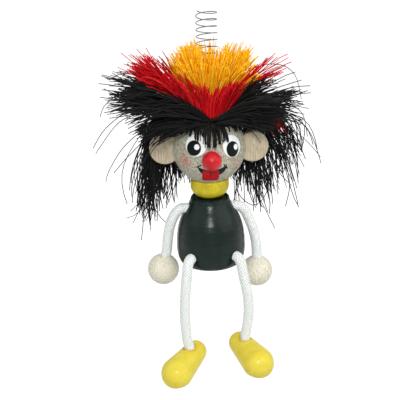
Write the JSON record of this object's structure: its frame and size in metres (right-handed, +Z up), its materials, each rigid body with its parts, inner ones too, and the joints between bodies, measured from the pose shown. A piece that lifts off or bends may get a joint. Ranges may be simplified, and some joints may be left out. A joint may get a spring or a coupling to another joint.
{
  "type": "wooden spring figure",
  "caption": "Wooden doll with yarn hair and cord limbs that hangs from a coil spring screwed into its head, and bounces, sways, twirls and swings its arms and legs",
  "frame": {"origin": "top end of the spring on its own axis, where the figure is hung", "axes": "+Z up along the hanging spring, the face looks along -Y, the figure's own left is +X"},
  "size_m": [0.0912, 0.0954, 0.1784],
  "materials": {
    "spring_steel": "drawn spring wire, satin, slightly dark",
    "screw_steel": "plated round-head wood screw",
    "natural_wood": "pale turned wood, smooth and unpainted, fine grain",
    "ear_wood": "pale sawn wood, upright grain, softened edge",
    "bead_wood": "raw drilled bead with visible grain",
    "red_lacquer": "turned wood with gloss red lacquer",
    "yellow_lacquer": "turned wood with satin yellow lacquer",
    "dark_green_lacquer": "turned wood with dark green stain and satin lacquer",
    "gold_yarn": "stiff twisted yarn, cut ends",
    "red_yarn": "stiff twisted yarn, cut ends",
    "black_yarn": "stiff twisted yarn, cut ends",
    "white_cord": "round braided cord, white with grey flecks"
  },
  "bodies": {
    "hanger": {"spring_top_turn": "spring_steel"},
    "spring": {"spring_coil": "spring_steel"},
    "carrier": {"spring_foot": "spring_steel"},
    "figure": {"spring_screw": "screw_steel", "head": "natural_wood", "ear_left": "ear_wood", "ear_right": "ear_wood", "nose": "red_lacquer", "nose_peg": "natural_wood", "hair_gold": "gold_yarn", "hair_red": "red_yarn", "hair_crown": "black_yarn", "hair_fringe": "black_yarn", "hair_side_left": "black_yarn", "hair_side_right": "black_yarn", "hair_back": "black_yarn", "collar": "yellow_lacquer", "neck_dowel": "natural_wood", "torso": "dark_green_lacquer", "arm_cord_middle": "white_cord"},
    "left_arm": {"arm_cord_left": "white_cord", "hand_left": "bead_wood"},
    "right_arm": {"arm_cord_right": "white_cord", "hand_right": "bead_wood"},
    "left_leg": {"leg_cord_left": "white_cord", "shoe_left": "yellow_lacquer"},
    "right_leg": {"leg_cord_right": "white_cord", "shoe_right": "yellow_lacquer"}
  },
  "joints": [
    {"name": "sway", "type": "hinge", "parent": "hanger", "child": "spring", "pos_m": [0, 0, -0.005], "axis": [0, 1, 0], "range_deg": [-20, 20]},
    {"name": "bounce", "type": "slide", "parent": "spring", "child": "carrier", "axis": [0, 0, 1], "range_m": [-0.06, 0.02], "stiffness_N_per_m": 28, "springref_m": 0.0155, "deforming": ["spring_coil"]},
    {"name": "turn", "type": "hinge", "parent": "carrier", "child": "figure", "pos_m": [0, 0, -0.0549], "axis": [0, 0, 1], "range_deg": [-180, 180]},
    {"name": "left_arm_swing", "type": "hinge", "parent": "figure", "child": "left_arm", "pos_m": [0, 0, -0.09627], "axis": [-1, 0, 0], "range_deg": [-30, 90]},
    {"name": "right_arm_swing", "type": "hinge", "parent": "figure", "child": "right_arm", "pos_m": [0, 0, -0.09627], "axis": [-1, 0, 0], "range_deg": [-30, 90]},
    {"name": "left_leg_swing", "type": "hinge", "parent": "figure", "child": "left_leg", "pos_m": [0, -0.01279, -0.11777], "axis": [-1, 0, 0], "range_deg": [-20, 80], "stiffness_Nm_per_rad": 0.004, "springref_deg": -4.58, "deforming": ["leg_cord_left"]},
    {"name": "right_leg_swing", "type": "hinge", "parent": "figure", "child": "right_leg", "pos_m": [0, -0.01279, -0.11777], "axis": [-1, 0, 0], "range_deg": [-20, 80], "stiffness_Nm_per_rad": 0.004, "springref_deg": -4.58, "deforming": ["leg_cord_right"]}
  ]
}
